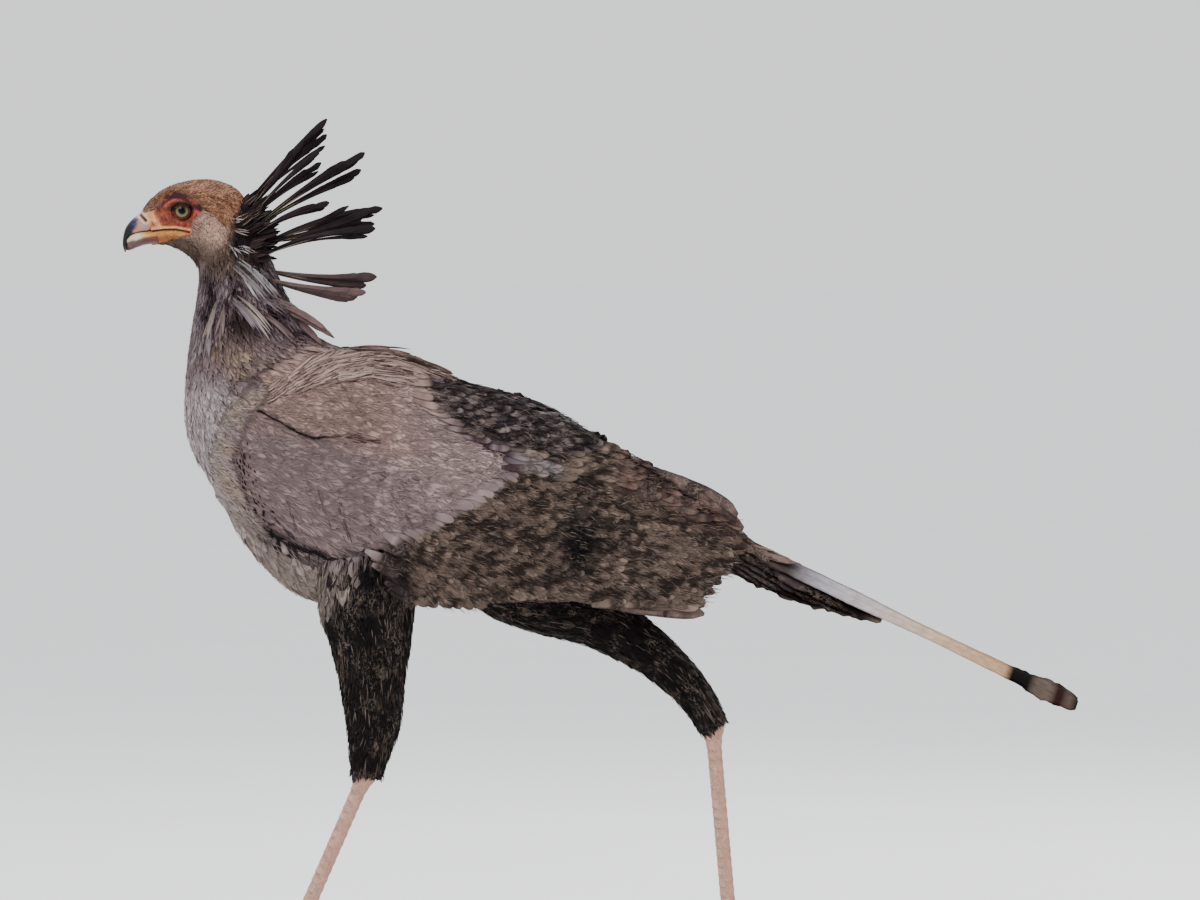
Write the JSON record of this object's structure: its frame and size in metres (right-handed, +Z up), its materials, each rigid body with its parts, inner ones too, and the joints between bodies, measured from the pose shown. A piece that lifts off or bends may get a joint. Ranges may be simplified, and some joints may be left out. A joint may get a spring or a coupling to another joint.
{
  "type": "secretary bird",
  "caption": "Life-size still model of a secretary bird in mid-stride on level ground, with its crest spread and its long tail held out behind.",
  "frame": {"origin": "on the floor, under the middle of the bird's length from bill to tail tip and between its two sides", "axes": "+Z up from the floor, -X the way the bird faces, -Y its left side"},
  "size_m": [1.1007, 0.222, 1.0661],
  "materials": {
    "head_plumage": "short brown feathers round a bare orange-pink face",
    "crest_plumage": "long loose black feathers over mottled grey-brown",
    "grey_plumage": "soft small grey-brown feathers",
    "wing_plumage": "overlapping grey coverts and black flight feathers",
    "black_plumage": "short black feathers with fine grey-brown barring",
    "tail_plumage": "long grey feathers with black bands",
    "bill": "smooth satin horn",
    "eye": "wet and glossy",
    "leg_skin": "overlapping horny plates",
    "claw": "satin horn"
  },
  "bodies": {
    "root": {"head": "head_plumage", "nape": "crest_plumage", "neck": "grey_plumage", "torso": "grey_plumage", "tail": "tail_plumage", "bill_upper": "bill", "bill_lower": "bill", "eye_left": "eye", "wing_left": "wing_plumage", "thigh_left": "black_plumage", "shank_left": "leg_skin", "foot_left": "leg_skin", "claw_left_1": "claw", "claw_left_2": "claw", "claw_left_3": "claw", "claw_left_4": "claw", "eye_right": "eye", "wing_right": "wing_plumage", "thigh_right": "black_plumage", "shank_right": "leg_skin", "foot_right": "leg_skin", "claw_right_1": "claw", "claw_right_2": "claw", "claw_right_3": "claw", "claw_right_4": "claw"}
  },
  "joints": []
}
